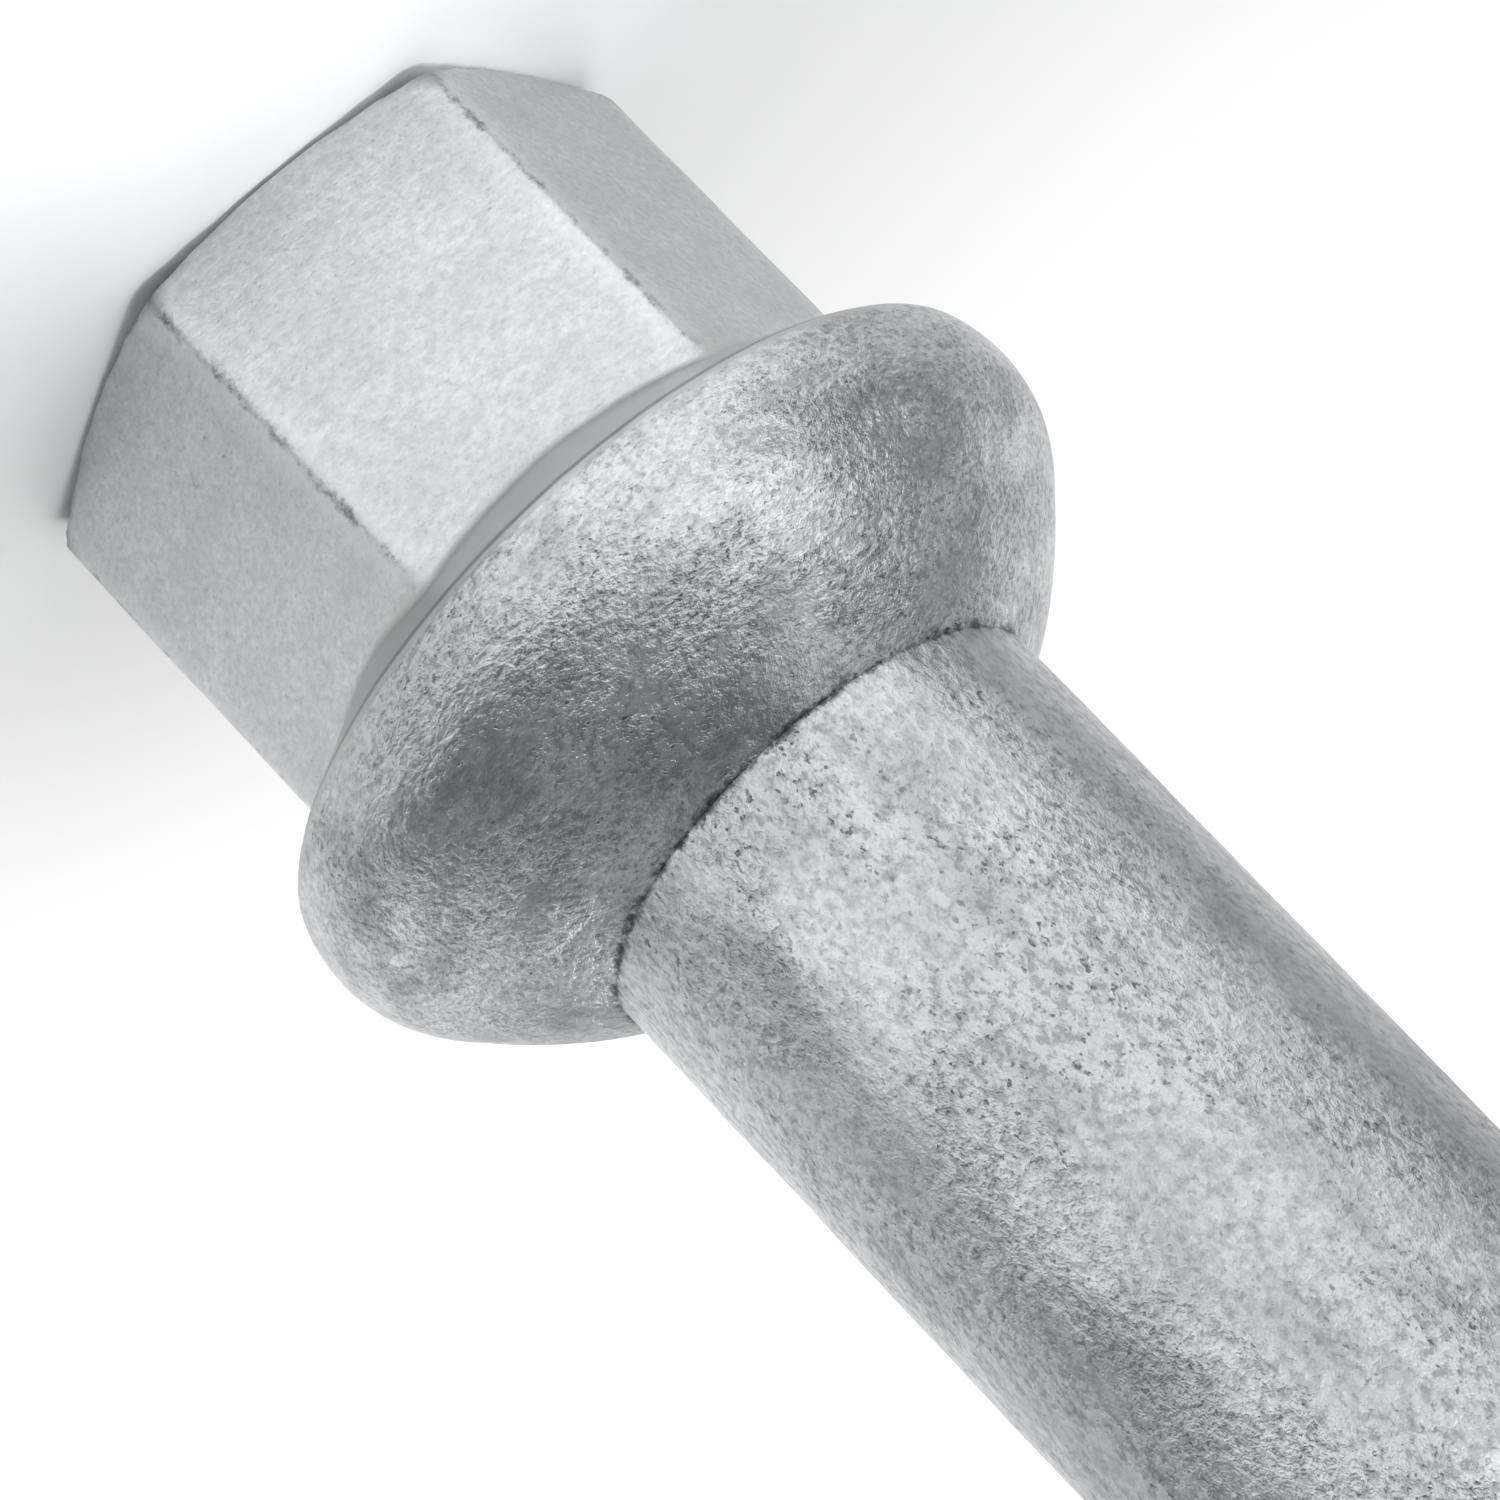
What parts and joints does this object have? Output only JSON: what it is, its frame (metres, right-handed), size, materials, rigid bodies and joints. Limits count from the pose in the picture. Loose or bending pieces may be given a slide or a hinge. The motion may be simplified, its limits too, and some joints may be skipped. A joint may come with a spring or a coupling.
{
  "type": "wheel bolt",
  "caption": "Car wheel bolt with a hexagon head, flared neck, ball-seat collar, long plain shank and threaded tip, forged in one piece.",
  "frame": {"origin": "centre of the head's end face, on which the bolt stands", "axes": "+Z along the bolt's axis, from the head to the threaded tip; -Y faces one flat of the hexagon"},
  "size_m": [0.0244, 0.0244, 0.0776],
  "materials": {
    "coated_steel": "matt silver-grey flake coat on forged steel"
  },
  "bodies": {
    "root": {"wheel_bolt": "coated_steel"}
  },
  "joints": []
}
